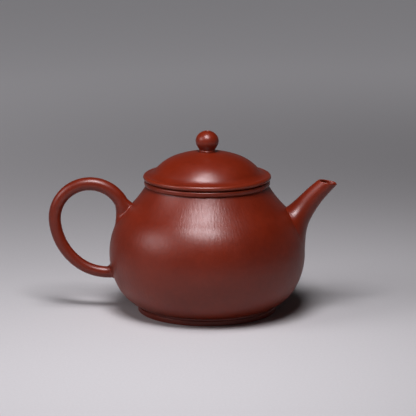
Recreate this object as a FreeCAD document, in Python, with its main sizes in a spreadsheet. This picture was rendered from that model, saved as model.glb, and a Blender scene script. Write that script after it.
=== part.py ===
import FreeCAD, Part
import math
import os
import Sketcher

# A slab-built clay teapot with a slightly flattened belly, an ear handle, a straight tapering spout and a
# domed lid with a ball knob. Millimetres. +Z is up, the axis of the pot is the Z axis and it stands on Z = 0.
# The spout points along +X and the handle along -X. All profiles of revolution are drawn as (radius, height).

SIZES = {
    # belly, shoulder and neck: one chain of tangent arcs; a turn is the angle where one arc hands over
    "wall_thickness": 3.0,
    "belly_radius": 44.13,
    "belly_height": 26.2,
    "belly_curve": 31.1,
    "base_curve": 18.3,
    "base_turn": -28.8,
    "upper_curve": 25.5,
    "upper_turn": 15.7,
    "neck_curve": 49.0,
    "neck_turn": 46.2,
    "shoulder_joint": 48.5,
    "neck_top": 57.3,
    # foot and base
    "foot_radius": 31.3,
    "foot_inner_radius": 27.0,
    "foot_top": 3.0,
    "foot_step": 0.5,
    "foot_step_height": 2.3,
    "foot_edge": 0.4,
    "base_radius": 26.0,
    "base_underside": 2.2,
    "floor_height": 4.8,
    # mouth
    "mouth_radius": 24.0,
    "mouth_ring_radius": 28.25,
    "mouth_edge": 1.0,
    "seat_height": 59.8,
    # lid
    "rim_radius": 28.7,
    "rim_thickness": 2.4,
    "rim_edge": 1.1,
    "plate_inner_radius": 21.0,
    "dome_top": 72.7,
    "dome_thickness": 2.5,
    "dome_curve": 43.2,
    "dome_turn": 69.6,
    "flank_curve": 20.1,
    "flank_turn": 39.7,
    "dome_foot_curve": 5.0,
    "dome_foot_radius": 26.2,
    "flange_clearance": 0.25,
    "flange_depth": 8.0,
    "flange_thickness": 2.0,
    "flange_edge": 0.6,
    "vent_radius": 0.9,
    # knob
    "knob_radius": 5.16,
    "knob_height": 77.4,
    "knob_side_curve": 4.25,
    "knob_crown_turn": 44.1,
    "knob_flank_turn": -32.0,
    "knob_neck_radius": 3.6,
    "knob_neck_curve": 0.6,
    "knob_neck_turn": 233.0,
    # spout mouth and the strainer behind the spout
    "spout_wall": 3.0,
    "spout_lip": 1.2,
    "spout_cut_radius": 50.3,
    "spout_cut_height": 59.5,
    "spout_cut_fall": 10.5,
    "strainer_turn": 24.0,
    "strainer_radius": 6.0,
    "strainer_thickness": 1.2,
    "strainer_sink": 0.8,
    "strainer_hole": 0.65,
    # handle: the centre line is three tangent arcs, the coil tapers from top to bottom
    "ear_centre_radius": 52.7,
    "ear_centre_height": 41.8,
    "ear_curve": 15.95,
    "ear_start": 28.9,
    "back_curve": 26.8,
    "back_turn": 185.2,
    "under_curve": 22.0,
    "under_turn": 231.4,
    "under_end": 283.0,
    "handle_top_radius": 3.12,
    "handle_end_radius": 2.45,
    "root_centre_radius": 35.6,
    "root_centre_height": 43.2,
    "root_lean": 130.0,
    "root_half_height": 6.1,
    "root_half_width": 3.7,
}

# Spout cross-sections from the root inside the wall to just past the lip: each is an ellipse whose top and
# bottom points lie in the plane of symmetry. Columns: top radius, top height, bottom radius, bottom height,
# half-width across.
SPOUT_SECTIONS = {
    "root": (33.0, 46.2, 43.9, 26.5, 14.0),
    "flare": (36.0, 47.2, 44.9, 36.8, 8.5),
    "lower": (40.6, 51.1, 47.6, 43.7, 5.7),
    "upper": (46.4, 56.6, 51.9, 50.3, 4.5),
    "tip": (53.2, 62.2, 58.2, 57.4, 3.6),
}
SECTION_COLUMNS = ("top_radius", "top_height", "bottom_radius", "bottom_height", "half_width")

# Rings of holes in the strainer's dome: height angle of each ring and number of holes.
STRAINER_RINGS = {"centre": (90.0, 1), "inner": (58.0, 6), "outer": (28.0, 12)}

OVERRUN = 1.0  # how far a cut runs past the face it cuts away
WALL_CUT = 10.0  # deeper than any wall, shallower than the hollow behind it
ACROSS_CUT = 40.0  # wider than the spout
CREST_TURN = 100.0  # any angle near the top of the ear, where its arc is drawn in two halves
SAME = 1e-4  # sizes closer than this are the same edge

DOC = FreeCAD.newDocument("Teapot")
SHEET = DOC.addObject("Spreadsheet::Sheet", "Dims")


class Dim:
    """A size known both as a number and as the sheet expression that gives it."""

    def __init__(self, value, text):
        self.value = float(value)
        self.text = text

    def join(self, other, sign, result):
        return Dim(result, f"({self.text} {sign} {other.text})")

    def __add__(self, other):
        other = as_dim(other)
        return self.join(other, "+", self.value + other.value)

    def __sub__(self, other):
        other = as_dim(other)
        return self.join(other, "-", self.value - other.value)

    def __mul__(self, other):
        other = as_dim(other)
        return self.join(other, "*", self.value * other.value)

    def __truediv__(self, other):
        other = as_dim(other)
        return self.join(other, "/", self.value / other.value)

    def __neg__(self):
        return Dim(-self.value, f"(-{self.text})")


def as_dim(size):
    return size if isinstance(size, Dim) else Dim(size, repr(float(size)))


def dim(name):
    """The sheet's cell of that name."""
    return Dim(SHEET.get(name), f"Dims.{name}")


def cos(angle):
    return Dim(math.cos(math.radians(angle.value)), f"cos({angle.text})")


def sin(angle):
    return Dim(math.sin(math.radians(angle.value)), f"sin({angle.text})")


def root(number):
    return Dim(math.sqrt(number.value), f"sqrt({number.text})")


def direction_angle(across, up):
    degrees = math.degrees(math.atan2(up.value, across.value))
    return Dim(degrees, f"atan2({up.text}; {across.text}) / 1 deg")


def step(start, length, angle):
    """The point that lies a length away from start in the direction of angle."""
    return (start[0] + length * cos(angle), start[1] + length * sin(angle))


def right_side(centre, curve, height):
    """The outer point of a circle at a height."""
    rise = height - centre[1]
    return (centre[0] + root(curve * curve - rise * rise), height)


def left_side(centre, curve, height):
    """The inner point of a circle at a height."""
    rise = height - centre[1]
    return (centre[0] - root(curve * curve - rise * rise), height)


def fill_sheet():
    cells = dict(SIZES)
    for section, numbers in SPOUT_SECTIONS.items():
        for column, number in zip(SECTION_COLUMNS, numbers):
            cells[f"spout_{section}_{column}"] = number
    for row, (name, number) in enumerate(cells.items(), start=1):
        SHEET.set(f"A{row}", name)
        SHEET.set(f"B{row}", str(number))
        SHEET.setAlias(f"B{row}", name)
    DOC.recompute()


# ---------------------------------------------------------------- sketches and features


def new_body(name):
    body = DOC.addObject("PartDesign::Body", name)
    body.Label = name
    return body


def origin_plane(body, role):
    for feature in body.Origin.OriginFeatures:
        if feature.Role == role:
            return feature
    raise ValueError(f"{body.Label} has no {role}")


def new_sketch(body, name, role):
    sketch = body.newObject("Sketcher::SketchObject", f"{body.Label}_{name}")
    sketch.AttachmentSupport = (origin_plane(body, role), [""])
    sketch.MapMode = "FlatFace"
    return sketch


def bind(sketch, constraint, size):
    number = sketch.addConstraint(constraint)
    sketch.setExpression(f"Constraints[{number}]", size.text)


def pin_point(sketch, edge, end, point):
    """Holds one end of an edge at a point given from the sketch's origin."""
    for kind, size in zip(("DistanceX", "DistanceY"), point):
        bind(sketch, Sketcher.Constraint(kind, -1, 1, edge, end, size.value), size)


def arc_between(start, end, curve, turns_left):
    """The arc of that radius from start to end that stays under half a turn."""
    across = end - start
    middle = (start + end) * 0.5
    offset = math.sqrt(max(curve**2 - (across.Length / 2) ** 2, 0.0))
    normal = FreeCAD.Vector(-across.y, across.x, 0).normalize()
    centre = middle + normal * offset if turns_left else middle - normal * offset
    bulge = (middle - centre).normalize() if offset > 0 else -normal
    return Part.Arc(start, centre + bulge * curve, end)


def draw(sketch, start, moves, closed=True):
    """Draws an outline point to point. Each move is (point) for a line, or (point, radius, side) for an arc
    that turns left or right on its way. Every point and radius is bound to the sheet. A closed outline ends
    with a line back to its start, unless its last move already goes there."""
    here = start
    first = None
    last = None
    if closed and moves[-1][0] is not start:
        moves = moves + [(start,)]
    for point, *arc in moves:
        begin = FreeCAD.Vector(here[0].value, here[1].value, 0)
        finish = FreeCAD.Vector(point[0].value, point[1].value, 0)
        if arc:
            curve, side = arc
            edge = sketch.addGeometry(arc_between(begin, finish, curve.value, side == "left"))
            begin_end = edge_ends(sketch, edge, begin)
            bind(sketch, Sketcher.Constraint("Radius", edge, curve.value), curve)
        else:
            edge = sketch.addGeometry(Part.LineSegment(begin, finish))
            begin_end = (1, 2)
        if last is None:
            first = (edge, begin_end[0])
            pin_point(sketch, edge, begin_end[0], here)
        else:
            sketch.addConstraint(Sketcher.Constraint("Coincident", *last, edge, begin_end[0]))
        last = (edge, begin_end[1])
        here = point
        if point is not start:
            pin_point(sketch, edge, begin_end[1], point)
    if closed:
        sketch.addConstraint(Sketcher.Constraint("Coincident", *last, *first))


def edge_ends(sketch, edge, begin):
    """Which end of an arc is where the pen came in, and which is where it goes on: arcs run anticlockwise."""
    to_first = sketch.getPoint(edge, 1).distanceToPoint(begin)
    to_second = sketch.getPoint(edge, 2).distanceToPoint(begin)
    return (1, 2) if to_first < to_second else (2, 1)


def profile_sketch(body, name, start, moves):
    sketch = new_sketch(body, name, "XZ_Plane")
    draw(sketch, start, moves)
    return sketch


def straight_profile(body, name, corners):
    """A profile with straight sides from corner to corner."""
    return profile_sketch(body, name, corners[0], [(corner,) for corner in corners[1:]])


def revolve(body, kind, sketch):
    """Adds (Revolution) or takes away (Groove) a full turn of a profile round the pot's axis."""
    feature = body.newObject(f"PartDesign::{kind}", f"{sketch.Label}_{kind.lower()}")
    feature.Profile = sketch
    feature.ReferenceAxis = (sketch, ["V_Axis"])
    feature.Angle = 360
    before = volume_of(body, feature)
    DOC.recompute()
    grew = feature.Shape.Volume > before
    if grew != (kind == "Revolution"):
        raise ValueError(f"{feature.Label} changed the volume the wrong way")
    return feature


def volume_of(body, feature):
    base = feature.BaseFeature
    return base.Shape.Volume if base else 0.0


def station_sketch(body, name, point, lean):
    """A sketch across the plane of symmetry: its normal leans up from +X by that angle, and its own upright
    axis stays in the plane of symmetry."""
    sketch = new_sketch(body, name, "YZ_Plane")
    about_its_x = FreeCAD.Rotation(FreeCAD.Vector(1, 0, 0), -1)
    sketch.AttachmentOffset = FreeCAD.Placement(FreeCAD.Vector(), about_its_x)
    sketch.setExpression("AttachmentOffset.Base.y", point[1].text)
    sketch.setExpression("AttachmentOffset.Base.z", point[0].text)
    sketch.setExpression("AttachmentOffset.Rotation.Angle", (-lean).text)
    return sketch


def ellipse_station(body, name, point, lean, half_height, half_width):
    """An ellipse standing at a station. Its long axis is found first, because the sketch needs it."""
    sketch = station_sketch(body, name, point, lean)
    wide = half_width.value >= half_height.value
    major, minor = (half_width, half_height) if wide else (half_height, half_width)
    across = FreeCAD.Vector(1, 0, 0) if wide else FreeCAD.Vector(0, 1, 0)
    upright = FreeCAD.Vector(0, 1, 0) if wide else FreeCAD.Vector(-1, 0, 0)
    ellipse = sketch.addGeometry(Part.Ellipse(across * major.value, upright * minor.value, FreeCAD.Vector()))
    sketch.exposeInternalGeometry(ellipse)
    major_axis = ellipse + 1
    minor_axis = ellipse + 2
    sketch.addConstraint(Sketcher.Constraint("Coincident", ellipse, 3, -1, 1))
    sketch.addConstraint(Sketcher.Constraint("Horizontal" if wide else "Vertical", major_axis))
    bind(sketch, Sketcher.Constraint("Distance", major_axis, 2 * major.value), major * 2)
    bind(sketch, Sketcher.Constraint("Distance", minor_axis, 2 * minor.value), minor * 2)
    return sketch


def draw_circle(sketch, radius):
    circle = sketch.addGeometry(Part.Circle(FreeCAD.Vector(), FreeCAD.Vector(0, 0, 1), radius.value))
    sketch.addConstraint(Sketcher.Constraint("Coincident", circle, 3, -1, 1))
    bind(sketch, Sketcher.Constraint("Radius", circle, radius.value), radius)


def pocket(body, sketch, length, both_ways=False):
    """Cuts a sketch into the body against its normal, or both ways from it."""
    feature = body.newObject("PartDesign::Pocket", f"{sketch.Label}_pocket")
    feature.Profile = sketch
    feature.Length = length
    feature.Midplane = both_ways
    DOC.recompute()
    if feature.Shape.Volume >= volume_of(body, feature):
        raise ValueError(f"{feature.Label} cuts nothing")
    return feature


def loft(body, kind, sketches):
    feature = body.newObject(f"PartDesign::{kind}", f"{sketches[0].Label}_{kind.lower()}")
    feature.Profile = sketches[0]
    feature.Sections = sketches[1:]
    DOC.recompute()
    return feature


def round_edges(body, name, radius, rings):
    """Rounds the circular edges that lie at each (radius, height) of rings."""
    base = body.Tip
    names = []
    for number, edge in enumerate(base.Shape.Edges, start=1):
        if not isinstance(edge.Curve, Part.Circle):
            continue
        for ring_radius, ring_height in rings:
            same_radius = abs(edge.Curve.Radius - ring_radius.value) < SAME
            same_height = abs(edge.Curve.Center.z - ring_height.value) < SAME
            if same_radius and same_height:
                names.append(f"Edge{number}")
    fillet = body.newObject("PartDesign::Fillet", f"{body.Label}_{name}")
    fillet.Base = (base, names)
    fillet.setExpression("Radius", radius.text)
    DOC.recompute()
    return fillet


def drill_vent(body, name):
    """The vent runs up the axis through the dome and the knob."""
    sketch = new_sketch(body, name, "XY_Plane")
    draw_circle(sketch, dim("vent_radius"))
    feature = body.newObject("PartDesign::Pocket", f"{body.Label}_vent")
    feature.Profile = sketch
    feature.Reversed = True
    feature.setExpression("Length", (dim("knob_height") + dim("knob_radius") * 2).text)
    DOC.recompute()
    if feature.Shape.Volume >= volume_of(body, feature):
        raise ValueError(f"{feature.Label} cuts nothing")


# ---------------------------------------------------------------- the vessel


def vessel_outline(inset, bottom, top):
    """The side of the pot between two heights, moved in by an inset: start point and arcs upwards."""
    belly = (dim("belly_radius") - dim("belly_curve"), dim("belly_height"))
    base = step(belly, dim("belly_curve") - dim("base_curve"), dim("base_turn"))
    upper = step(belly, dim("belly_curve") - dim("upper_curve"), dim("upper_turn"))
    neck = step(upper, dim("upper_curve") + dim("neck_curve"), dim("neck_turn"))
    base_curve = dim("base_curve") - inset
    belly_curve = dim("belly_curve") - inset
    upper_curve = dim("upper_curve") - inset
    neck_curve = dim("neck_curve") + inset
    start = right_side(base, base_curve, bottom)
    arcs = [
        (step(belly, belly_curve, dim("base_turn")), base_curve, "left"),
        (step(belly, belly_curve, dim("upper_turn")), belly_curve, "left"),
        (step(upper, upper_curve, dim("neck_turn")), upper_curve, "left"),
        (left_side(neck, neck_curve, top), neck_curve, "right"),
    ]
    return start, arcs


def vessel_core(body, name, inset, bottom, top):
    """The pot's side outline closed to the axis: outside for an inset of 0, hollow for the wall thickness."""
    start, arcs = vessel_outline(inset, bottom, top)
    axis_top = (as_dim(0), top)
    axis_bottom = (as_dim(0), bottom)
    return profile_sketch(body, name, start, arcs + [(axis_top,), (axis_bottom,)])


def cope_to_vessel(body):
    """Cuts the body back to the outside of the pot, so that it seats on the wall."""
    seat = vessel_core(body, "seat", as_dim(0), dim("foot_top"), dim("neck_top"))
    revolve(body, "Groove", seat)


def vessel_shell(body):
    """The hollow shell that the wall and the shoulder are both cut from."""
    top = dim("neck_top")
    outside = vessel_core(body, "outside", as_dim(0), dim("foot_top"), top)
    revolve(body, "Revolution", outside)
    hollow = vessel_core(body, "hollow", dim("wall_thickness"), dim("floor_height"), top)
    revolve(body, "Groove", hollow)


def cut_band(body, name, inner, outer, bottom, top):
    """Takes away everything between two radii and two heights."""
    corners = [(inner, bottom), (outer, bottom), (outer, top), (inner, top)]
    revolve(body, "Groove", straight_profile(body, name, corners))


def build_body_wall():
    body = new_body("body_wall")
    vessel_shell(body)
    zero = as_dim(0)
    beyond = dim("belly_radius") + OVERRUN
    cut_band(body, "above", zero, beyond, dim("shoulder_joint"), dim("neck_top") + OVERRUN)
    cut_band(body, "base_seat", zero, dim("base_radius"), zero, dim("belly_height"))
    outside = strainer_seat(dim("belly_curve") + OVERRUN)
    hole = station_sketch(body, "spout_hole", outside, dim("strainer_turn"))
    draw_circle(hole, dim("strainer_radius"))
    pocket(body, hole, WALL_CUT)


def build_shoulder_ring():
    body = new_body("shoulder_ring")
    vessel_shell(body)
    zero = as_dim(0)
    cut_band(body, "below", zero, dim("belly_radius") + OVERRUN, zero, dim("shoulder_joint"))


def build_base_disc():
    body = new_body("base_disc")
    bottom = dim("base_underside")
    top = dim("floor_height")
    zero = as_dim(0)
    edge = dim("base_radius")
    corners = [(zero, bottom), (edge, bottom), (edge, top), (zero, top)]
    revolve(body, "Revolution", straight_profile(body, "disc", corners))


def build_foot_ring():
    body = new_body("foot_ring")
    outer = dim("foot_radius")
    waist = outer - dim("foot_step")
    inner = dim("foot_inner_radius")
    top = dim("foot_top")
    shelf = dim("foot_step_height")
    zero = as_dim(0)
    corners = [
        (inner, zero),
        (outer, zero),
        (outer, shelf),
        (waist, shelf),
        (waist, top),
        (inner, top),
    ]
    revolve(body, "Revolution", straight_profile(body, "ring", corners))
    round_edges(body, "edges", dim("foot_edge"), [(outer, zero), (outer, shelf), (inner, zero)])


def build_mouth_ring():
    body = new_body("mouth_ring")
    outer = dim("mouth_ring_radius")
    inner = dim("mouth_radius")
    bottom = dim("neck_top")
    top = dim("seat_height")
    corners = [(inner, bottom), (outer, bottom), (outer, top), (inner, top)]
    revolve(body, "Revolution", straight_profile(body, "ring", corners))
    round_edges(body, "edges", dim("mouth_edge"), [(outer, bottom), (outer, top)])


# ---------------------------------------------------------------- the lid


def dome_centres():
    """Centres of the dome's crown arc, of its steeper flank arc and of the hollow curve at its foot."""
    crown = (as_dim(0), dim("dome_top") - dim("dome_curve"))
    flank = step(crown, dim("dome_curve") - dim("flank_curve"), dim("dome_turn"))
    foot = step(flank, dim("flank_curve") + dim("dome_foot_curve"), dim("flank_turn"))
    return crown, flank, foot


def rim_top():
    return dim("seat_height") + dim("rim_thickness")


def build_lid_plate():
    """The brim: a flat ring with a full round edge, eased off the seat underneath."""
    body = new_body("lid_plate")
    seat = dim("seat_height")
    edge_centre = (dim("rim_radius") - dim("rim_edge"), rim_top() - dim("rim_edge"))
    under_edge = (edge_centre[0], edge_centre[1] - dim("rim_edge"))
    seat_end = (edge_centre[0] - dim("rim_edge"), seat)
    inner = dim("plate_inner_radius")
    moves = [
        (seat_end,),
        (under_edge,),
        ((dim("rim_radius"), edge_centre[1]), dim("rim_edge"), "left"),
        ((edge_centre[0], rim_top()), dim("rim_edge"), "left"),
        ((inner, rim_top()),),
    ]
    revolve(body, "Revolution", profile_sketch(body, "brim", (inner, seat), moves))


def build_lid_dome():
    """A shell that springs from the brim in a hollow curve and closes in a low crown."""
    body = new_body("lid_dome")
    crown, flank, foot = dome_centres()
    thickness = dim("dome_thickness")
    zero = as_dim(0)
    floor = rim_top()
    reach = foot[0] - dim("dome_foot_radius")
    foot_height = foot[1] - root(dim("dome_foot_curve") * dim("dome_foot_curve") - reach * reach)
    inner_flank = dim("flank_curve") - thickness
    inner_crown = dim("dome_curve") - thickness
    moves = [
        ((dim("dome_foot_radius"), floor),),
        ((dim("dome_foot_radius"), foot_height),),
        (step(flank, dim("flank_curve"), dim("flank_turn")), dim("dome_foot_curve"), "right"),
        (step(crown, dim("dome_curve"), dim("dome_turn")), dim("flank_curve"), "left"),
        ((zero, dim("dome_top")), dim("dome_curve"), "left"),
        ((zero, dim("dome_top") - thickness),),
        (step(crown, inner_crown, dim("dome_turn")), inner_crown, "right"),
    ]
    start = right_side(flank, inner_flank, floor)
    back_to_start = (start, inner_flank, "right")
    revolve(body, "Revolution", profile_sketch(body, "dome", start, moves + [back_to_start]))
    drill_vent(body, "vent_circle")


def build_lid_flange():
    body = new_body("lid_flange")
    outer = dim("mouth_radius") - dim("flange_clearance")
    inner = outer - dim("flange_thickness")
    top = dim("seat_height")
    bottom = top - dim("flange_depth")
    corners = [(inner, bottom), (outer, bottom), (outer, top), (inner, top)]
    revolve(body, "Revolution", straight_profile(body, "ring", corners))
    round_edges(body, "edges", dim("flange_edge"), [(outer, bottom), (inner, bottom)])


def build_knob():
    """A slightly flattened ball whose flanks run straight in to a short neck that flares onto the dome."""
    body = new_body("knob")
    zero = as_dim(0)
    side = (dim("knob_radius") - dim("knob_side_curve"), dim("knob_height"))
    crown_gap = side[0] / cos(dim("knob_crown_turn"))
    crown_curve = dim("knob_side_curve") + crown_gap
    crown = (zero, side[1] - crown_gap * sin(dim("knob_crown_turn")))
    crown_join = step(side, dim("knob_side_curve"), dim("knob_crown_turn"))
    flank_start = step(side, dim("knob_side_curve"), dim("knob_flank_turn"))
    neck_curve = dim("knob_neck_curve")
    neck_x = dim("knob_neck_radius") + neck_curve
    slope = dim("knob_flank_turn")
    flank_run = (flank_start[0] + neck_curve * cos(slope) - neck_x) / (-sin(slope))
    flank_end = (flank_start[0] + flank_run * sin(slope), flank_start[1] - flank_run * cos(slope))
    neck = (neck_x, flank_end[1] + neck_curve * sin(slope))
    neck_end = step(neck, neck_curve, dim("knob_neck_turn"))
    base = neck_end[1] - OVERRUN
    moves = [
        ((neck_end[0], base),),
        (neck_end,),
        (flank_end, neck_curve, "right"),
        (flank_start,),
        (crown_join, dim("knob_side_curve"), "left"),
        ((zero, crown[1] + crown_curve), crown_curve, "left"),
    ]
    revolve(body, "Revolution", profile_sketch(body, "ball", (zero, base), moves))
    dome_centre = dome_centres()[0]
    dome_side = step(dome_centre, dim("dome_curve"), dim("dome_turn"))
    seat = [(dome_side,), ((zero, dim("dome_top")), dim("dome_curve"), "left")]
    revolve(body, "Groove", profile_sketch(body, "seat", (zero, dim("seat_height")), seat))
    drill_vent(body, "vent_circle")


# ---------------------------------------------------------------- spout, strainer and handle


def spout_station(body, name, section, inset):
    """One elliptical cross-section of the spout, made smaller by an inset for its bore."""
    top_radius, top_height, bottom_radius, bottom_height, half_width = [
        dim(f"spout_{section}_{column}") for column in SECTION_COLUMNS
    ]
    across = bottom_radius - top_radius
    down = top_height - bottom_height
    centre = ((top_radius + bottom_radius) / 2, (top_height + bottom_height) / 2)
    half_height = root(across * across + down * down) / 2
    lean = direction_angle(down, across)
    name = f"{name}_{section}"
    return ellipse_station(body, name, centre, lean, half_height - inset, half_width - inset)


def spout_inset(position):
    """The spout's wall thickness: full at the root, thin at the lip."""
    last = len(SPOUT_SECTIONS) - 1
    return dim("spout_wall") + (dim("spout_lip") - dim("spout_wall")) * (position / last)


def build_spout():
    body = new_body("spout")
    outside = [
        spout_station(body, "outside", section, as_dim(0))
        for section in SPOUT_SECTIONS
    ]
    bore = [
        spout_station(body, "bore", section, spout_inset(position))
        for position, section in enumerate(SPOUT_SECTIONS)
    ]
    loft(body, "AdditiveLoft", outside)
    loft(body, "SubtractiveLoft", bore)
    cope_to_vessel(body)
    cut_spout_mouth(body)


def cut_spout_mouth(body):
    """The lip is cut on a slant that falls towards the tip."""
    fall = -dim("spout_cut_fall")
    lip = (dim("spout_cut_radius"), dim("spout_cut_height"))
    back = step(lip, as_dim(-WALL_CUT), fall)
    front = step(lip, as_dim(2 * WALL_CUT), fall)
    top = lip[1] + WALL_CUT
    corners = [back, front, (front[0], top), (back[0], top)]
    pocket(body, straight_profile(body, "mouth", corners), ACROSS_CUT, both_ways=True)


def strainer_seat(distance):
    """A point on the axis of the hole behind the spout, that far from the centre of the belly arc."""
    belly = (dim("belly_radius") - dim("belly_curve"), dim("belly_height"))
    return step(belly, distance, dim("strainer_turn"))


def build_spout_strainer():
    """A thimble of clay: its neck fills the hole in the wall and its pierced dome stands into the pot. It is
    drawn upright, with the dome's centre at its own origin, and then laid into place."""
    body = new_body("spout_strainer")
    zero = as_dim(0)
    outer = dim("strainer_radius")
    inner = outer - dim("strainer_thickness")
    neck = dim("strainer_sink") - dim("wall_thickness")
    moves = [
        ((outer, neck),),
        ((outer, zero),),
        ((zero, outer), outer, "left"),
        ((zero, inner),),
        ((inner, zero), inner, "right"),
    ]
    revolve(body, "Revolution", profile_sketch(body, "thimble", (inner, neck), moves))
    for ring, (lean, count) in STRAINER_RINGS.items():
        pierce(body, ring, as_dim(lean), count)
    about_y = FreeCAD.Rotation(FreeCAD.Vector(0, 1, 0), -1)
    body.Placement = FreeCAD.Placement(FreeCAD.Vector(), about_y)
    seat = strainer_seat(dim("belly_curve") - dim("wall_thickness"))
    body.setExpression("Placement.Base.x", seat[0].text)
    body.setExpression("Placement.Base.z", seat[1].text)
    body.setExpression("Placement.Rotation.Angle", (-(dim("strainer_turn") + 90)).text)


def pierce(body, name, lean, count):
    """A ring of holes, each drilled straight at the dome's centre."""
    outside = dim("strainer_radius") + OVERRUN
    centre = (as_dim(0), as_dim(0))
    sketch = station_sketch(body, name, step(centre, outside, lean), lean)
    draw_circle(sketch, dim("strainer_hole"))
    hole = pocket(body, sketch, 2 * OVERRUN + SIZES["strainer_thickness"])
    if count == 1:
        return
    ring = body.newObject("PartDesign::PolarPattern", f"{body.Label}_{name}_ring")
    ring.Originals = [hole]
    ring.Axis = (origin_plane(body, "Z_Axis"), [""])
    ring.Angle = 360
    ring.Occurrences = count
    body.Tip = ring
    DOC.recompute()


def handle_centres():
    """Centres of the three arcs of the handle's centre line, from the top root round to the lower one."""
    ear = (-dim("ear_centre_radius"), dim("ear_centre_height"))
    back = step(ear, dim("ear_curve") - dim("back_curve"), dim("back_turn"))
    under = step(back, dim("back_curve") - dim("under_curve"), dim("under_turn"))
    return ear, back, under


def build_handle():
    """A tapering coil bent into an ear; its upper root is pressed out against the shoulder."""
    body = new_body("handle")
    ear, back, under = handle_centres()
    top_end = step(ear, dim("ear_curve"), dim("ear_start"))
    low_end = step(under, dim("under_curve"), dim("under_end"))
    spine = new_sketch(body, "spine", "XZ_Plane")
    crest = step(ear, dim("ear_curve"), as_dim(CREST_TURN))
    moves = [
        (crest, dim("ear_curve"), "left"),
        (step(ear, dim("ear_curve"), dim("back_turn")), dim("ear_curve"), "left"),
        (step(back, dim("back_curve"), dim("under_turn")), dim("back_curve"), "left"),
        (low_end, dim("under_curve"), "left"),
    ]
    draw(spine, top_end, moves, closed=False)
    top = station_sketch(body, "top", top_end, dim("ear_start") + 90)
    draw_circle(top, dim("handle_top_radius"))
    low = station_sketch(body, "low", low_end, dim("under_end") + 90)
    draw_circle(low, dim("handle_end_radius"))
    DOC.recompute()
    coil = body.newObject("PartDesign::AdditivePipe", "handle_coil")
    coil.Profile = top
    coil.Spine = spine
    coil.Sections = [low]
    coil.Transformation = "Multisection"
    DOC.recompute()
    root_point = (-dim("root_centre_radius"), dim("root_centre_height"))
    root_size = (dim("root_half_height"), dim("root_half_width"))
    pressed = ellipse_station(body, "root", root_point, dim("root_lean"), *root_size)
    top_again = station_sketch(body, "top_again", top_end, dim("ear_start") + 90)
    draw_circle(top_again, dim("handle_top_radius"))
    loft(body, "AdditiveLoft", [pressed, top_again])
    cope_to_vessel(body)


# ---------------------------------------------------------------- build, check and write

BUILDERS = [
    build_body_wall,
    build_base_disc,
    build_shoulder_ring,
    build_mouth_ring,
    build_foot_ring,
    build_spout,
    build_spout_strainer,
    build_handle,
    build_lid_plate,
    build_lid_dome,
    build_lid_flange,
    build_knob,
]


def check_document():
    for item in DOC.Objects:
        if "Invalid" in item.State or "Error" in item.State:
            raise ValueError(f"{item.Label} did not compute: {item.State}")


def check_body(body):
    if body.Shape.isNull() or not body.Shape.isValid() or len(body.Shape.Solids) != 1:
        raise ValueError(f"{body.Label} is not one valid solid")


def main():
    fill_sheet()
    for build in BUILDERS:
        build()
    DOC.recompute()
    check_document()
    bodies = [item for item in DOC.Objects if item.TypeId == "PartDesign::Body"]
    for body in bodies:
        check_body(body)
    os.makedirs("parts", exist_ok=True)
    for body in bodies:
        body.Shape.exportStep(f"parts/{body.Label}.step")
        box = body.Shape.BoundBox
        print(f"{body.Label}: {body.Shape.Volume:.1f} mm3")
        print(f"  x {box.XMin:.2f} to {box.XMax:.2f}")
        print(f"  y {box.YMin:.2f} to {box.YMax:.2f}")
        print(f"  z {box.ZMin:.2f} to {box.ZMax:.2f}")


main()
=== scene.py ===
import math

import bpy
import numpy as np
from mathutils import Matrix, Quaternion, Vector


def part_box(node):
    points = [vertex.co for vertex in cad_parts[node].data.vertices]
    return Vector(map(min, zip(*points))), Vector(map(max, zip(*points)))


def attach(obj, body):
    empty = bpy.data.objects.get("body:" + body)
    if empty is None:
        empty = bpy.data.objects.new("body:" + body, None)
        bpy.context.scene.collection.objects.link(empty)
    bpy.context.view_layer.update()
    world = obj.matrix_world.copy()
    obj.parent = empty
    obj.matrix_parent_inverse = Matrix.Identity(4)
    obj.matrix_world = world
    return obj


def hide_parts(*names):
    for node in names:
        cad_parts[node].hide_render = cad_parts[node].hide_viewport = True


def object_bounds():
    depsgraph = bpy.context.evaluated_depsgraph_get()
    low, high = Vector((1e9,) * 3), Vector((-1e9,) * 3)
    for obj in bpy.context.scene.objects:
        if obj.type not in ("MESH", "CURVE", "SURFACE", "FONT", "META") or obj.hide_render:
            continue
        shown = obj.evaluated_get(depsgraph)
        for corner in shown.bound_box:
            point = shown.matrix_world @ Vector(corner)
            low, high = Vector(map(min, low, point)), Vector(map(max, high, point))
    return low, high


# A slab-built clay teapot: round pot, ear handle, straight spout, and a domed lid with a ball knob.
# Metres, +Z up, the pot's axis is the Z axis, the spout points along +X. Profiles are (radius, height).

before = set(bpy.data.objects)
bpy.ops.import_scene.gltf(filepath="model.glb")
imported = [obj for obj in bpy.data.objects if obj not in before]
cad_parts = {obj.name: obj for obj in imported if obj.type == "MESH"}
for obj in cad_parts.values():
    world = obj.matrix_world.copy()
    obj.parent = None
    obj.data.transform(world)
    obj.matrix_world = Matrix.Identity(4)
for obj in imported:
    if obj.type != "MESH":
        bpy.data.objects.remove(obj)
CAD_LOW, CAD_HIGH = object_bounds()

MM = 0.001
SECTORS = 240  # divisions of a full turn on the turned pieces
HAIR = 0.03 * MM  # how far a luted edge sinks into the surface it is pressed on
ON_AXIS = HAIR / 100  # anything nearer the axis than this lies on it
TIGHT_CURVE = 1.3 * MM  # an edge rounded tighter than this shows wear
CURVE_PITCH = 0.5 * MM  # how far apart the points of a large curve are
EDGE_PITCH = 0.08 * MM  # and those of a small edge

# ---------------------------------------------------------------- sizes the frame gives


def top_of(node):
    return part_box(node)[1].z


def bottom_of(node):
    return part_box(node)[0].z


def radius_of(node):
    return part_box(node)[1].x


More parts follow.
